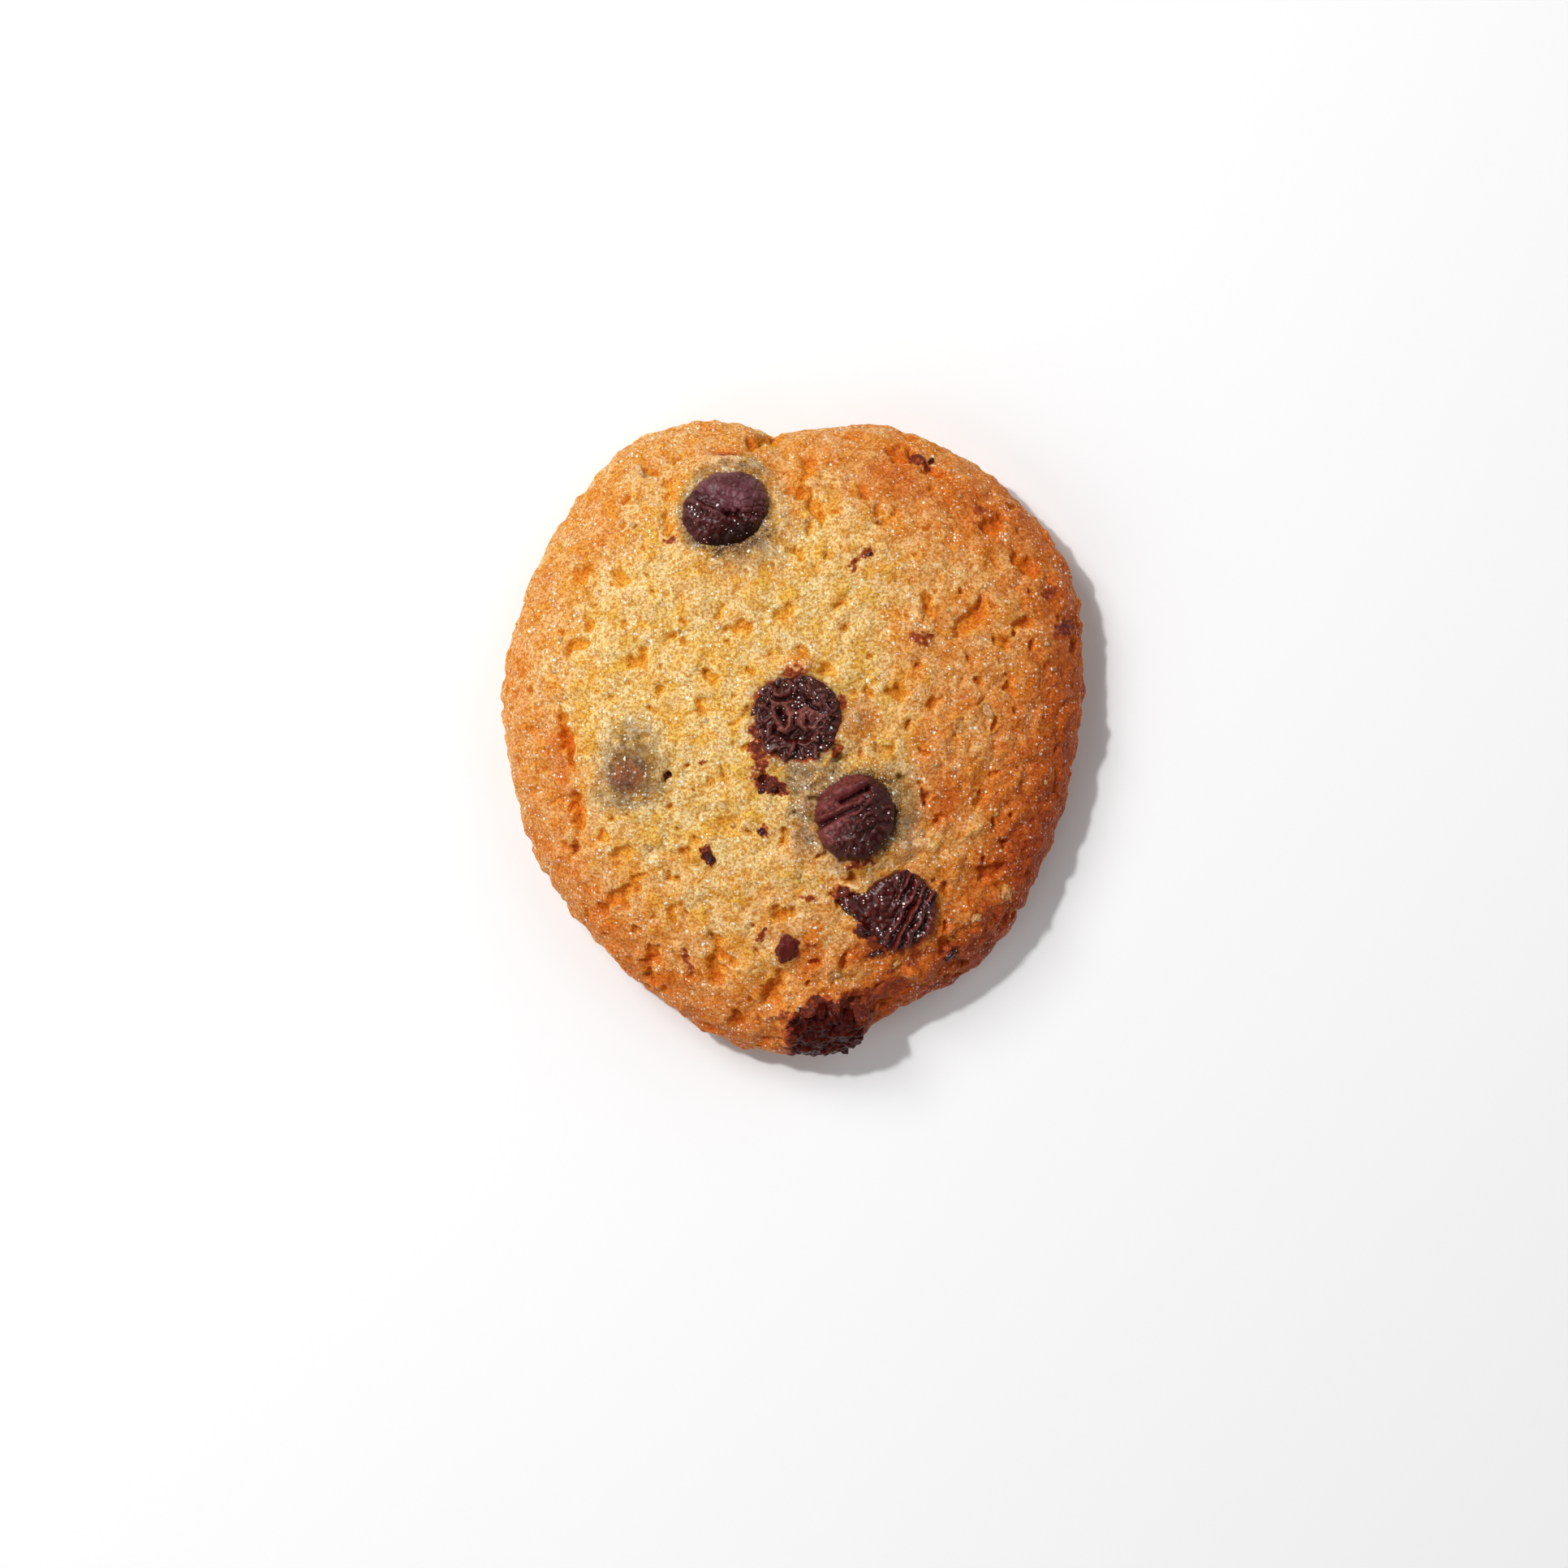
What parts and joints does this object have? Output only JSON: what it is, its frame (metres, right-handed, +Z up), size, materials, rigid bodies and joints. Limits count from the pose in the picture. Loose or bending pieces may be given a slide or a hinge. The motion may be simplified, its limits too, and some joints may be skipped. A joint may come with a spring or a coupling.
{
  "type": "chocolate chip cookie",
  "caption": "Soft, domed drop cookie with a pitted golden crumb, a browned rim, a flat foot and chocolate chips sunk in its top and side.",
  "frame": {"origin": "on the table, under the middle of the cookie's outline", "axes": "+Z up out of the top crust, +Y along the cookie's length, towards the notch between its two lobes"},
  "size_m": [0.0622, 0.0678, 0.0159],
  "materials": {
    "baked_dough": "soft baked crumb, golden with a browned rim, faintly greasy",
    "chocolate": "dark chocolate, half melted and set again, satin"
  },
  "bodies": {
    "root": {"dough": "baked_dough", "chip_upper": "chocolate", "chip_middle": "chocolate", "chip_right": "chocolate", "chip_melted": "chocolate", "chip_rim": "chocolate"}
  },
  "joints": []
}
